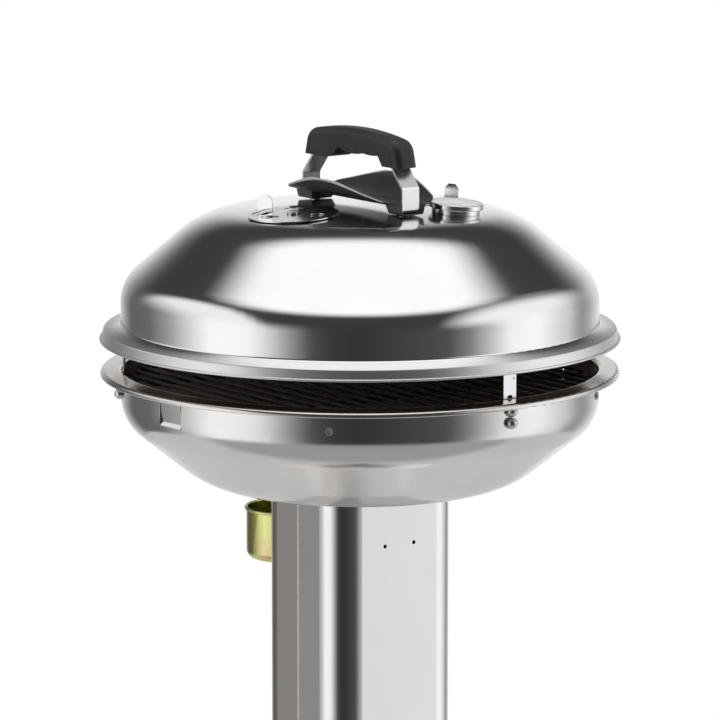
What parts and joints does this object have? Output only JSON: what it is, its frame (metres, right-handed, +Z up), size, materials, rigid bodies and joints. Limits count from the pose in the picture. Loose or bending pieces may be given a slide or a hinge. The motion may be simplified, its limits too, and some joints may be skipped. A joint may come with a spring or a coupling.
{
  "type": "pellet grill",
  "caption": "Covered round stainless grill on one box pillar, with a lid held open on strips, lid vents, a thermometer, a lift handle over a raised heat shield and a hanging grease cup.",
  "frame": {"origin": "on the floor under the bowl axis", "axes": "+Z up along the bowl axis, -Y out of the pillar face with the two holes, +X to the right of that face"},
  "size_m": [0.5713, 0.5714, 1.1301],
  "materials": {
    "mirror_steel": "mirror-polished stainless sheet",
    "satin_steel": "satin stainless sheet",
    "fastener_steel": "bright stainless fasteners and straps",
    "moulded_grip": "black moulded heat-proof plastic",
    "shield_coat": "dark heat-proof coating",
    "zinc_yellow": "yellow iridescent zinc plating",
    "dark_enamel": "black enamelled steel",
    "burnt_steel": "heat-tinted stainless",
    "dial_white": "pale printed-free dial",
    "needle_red": "painted pointer",
    "clear_glass": "clear glass",
    "foot_rubber": "black rubber"
  },
  "bodies": {
    "stand": {"base_plate": "satin_steel", "base_feet": "foot_rubber", "pillar_foot": "satin_steel", "foot_bolts": "fastener_steel", "foot_nuts": "fastener_steel", "pillar_front": "satin_steel", "pillar_rear": "satin_steel", "seam_rivets": "fastener_steel", "pillar_head": "satin_steel", "bowl": "satin_steel", "bowl_bolts": "fastener_steel", "bowl_nuts": "fastener_steel", "lid_rest_front": "satin_steel", "lid_rest_left": "satin_steel", "lid_rest_right": "satin_steel", "rest_bolts": "fastener_steel", "rest_dome_nuts": "fastener_steel", "grate_studs": "fastener_steel", "stud_dome_nuts": "fastener_steel", "burn_pot": "burnt_steel", "heat_deflector": "burnt_steel", "grease_spout": "fastener_steel", "spout_nut": "fastener_steel", "cup_hook": "fastener_steel", "hook_screws": "fastener_steel", "damper_pivot": "fastener_steel"},
    "lid": {"lid_shell": "mirror_steel", "vent_pivots": "fastener_steel", "heat_shield": "shield_coat", "handle_strap_front": "fastener_steel", "handle_strap_rear": "fastener_steel", "handle_grip": "moulded_grip", "handle_spacers": "fastener_steel", "handle_bolts": "fastener_steel", "handle_nuts": "fastener_steel", "thermometer_case": "mirror_steel", "thermometer_dial": "dial_white", "thermometer_probe": "fastener_steel", "thermometer_glass": "clear_glass", "thermometer_nut": "fastener_steel"},
    "vent_left": {"vent_disc_left": "mirror_steel"},
    "vent_right": {"vent_disc_right": "mirror_steel"},
    "needle": {"thermometer_needle": "needle_red"},
    "grate": {"cooking_grate": "dark_enamel"},
    "cup": {"grease_cup": "zinc_yellow", "cup_hanger": "zinc_yellow", "cup_rivets": "fastener_steel"},
    "damper": {"air_damper": "satin_steel"}
  },
  "joints": [
    {"name": "lid_lift", "type": "slide", "parent": "stand", "child": "lid", "axis": [0, 0, 1], "range_m": [0, 0.25]},
    {"name": "vent_left_turn", "type": "hinge", "parent": "lid", "child": "vent_left", "pos_m": [-0.09497, -0.00831, 1.04302], "axis": [-0.0601, -0.0053, 0.9982], "range_deg": [0, 60]},
    {"name": "vent_right_turn", "type": "hinge", "parent": "lid", "child": "vent_right", "pos_m": [0.09497, 0.00831, 1.04302], "axis": [0.0601, 0.0053, 0.9982], "range_deg": [0, 60]},
    {"name": "needle_turn", "type": "hinge", "parent": "lid", "child": "needle", "pos_m": [0.06292, -0.09087, 1.0492], "axis": [0.0396, -0.0572, 0.9976], "range_deg": [-270, 0]},
    {"name": "grate_lift", "type": "slide", "parent": "stand", "child": "grate", "axis": [0, 0, 1], "range_m": [0, 0.045]},
    {"name": "cup_lift", "type": "slide", "parent": "stand", "child": "cup", "axis": [0, 0, 1], "range_m": [0, 0.03]},
    {"name": "damper_turn", "type": "hinge", "parent": "stand", "child": "damper", "pos_m": [0, 0.074, 0.132], "axis": [0, 1, 0], "range_deg": [0, 60]}
  ]
}
